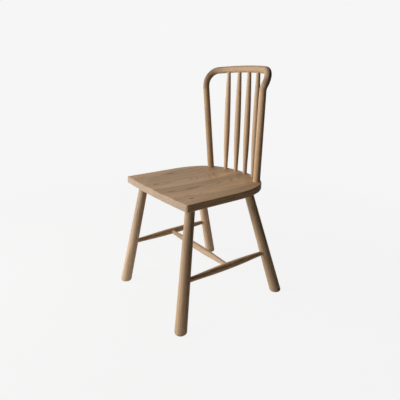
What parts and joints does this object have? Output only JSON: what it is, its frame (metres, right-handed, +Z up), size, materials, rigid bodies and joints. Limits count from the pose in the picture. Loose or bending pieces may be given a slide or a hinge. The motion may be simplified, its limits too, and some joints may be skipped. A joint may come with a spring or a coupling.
{
  "type": "windsor dining chair",
  "caption": "Windsor dining chair with a dished board seat, splayed legs joined by turned stretchers, and an open back of posts and spindles under a bent crest rail.",
  "frame": {"origin": "on the floor, under the middle of the chair's overall box", "axes": "+Z up, the chair faces -Y, +X to the right of a viewer who faces its front"},
  "size_m": [0.4721, 0.4919, 0.8547],
  "materials": {
    "oak_board_1": "matt clear lacquer",
    "oak_board_2": "matt clear lacquer",
    "oak_board_3": "matt clear lacquer",
    "oak_board_4": "matt clear lacquer",
    "oak_leg": "matt clear lacquer",
    "oak_stretcher": "matt clear lacquer",
    "oak_post": "matt clear lacquer",
    "oak_crest": "matt clear lacquer",
    "oak_spindle": "matt clear lacquer",
    "oak_dowel": "bare"
  },
  "bodies": {
    "root": {"seat_board_1": "oak_board_1", "seat_board_2": "oak_board_2", "seat_board_3": "oak_board_3", "seat_board_4": "oak_board_4", "leg_front_left": "oak_leg", "leg_front_right": "oak_leg", "leg_rear_left": "oak_leg", "leg_rear_right": "oak_leg", "side_stretcher_left": "oak_stretcher", "side_stretcher_right": "oak_stretcher", "cross_stretcher": "oak_stretcher", "back_post_left": "oak_post", "back_post_right": "oak_post", "crest_rail": "oak_crest", "crest_dowel_left": "oak_dowel", "crest_dowel_right": "oak_dowel", "back_spindle_1": "oak_spindle", "back_spindle_2": "oak_spindle", "back_spindle_3": "oak_spindle", "back_spindle_4": "oak_spindle"}
  },
  "joints": []
}
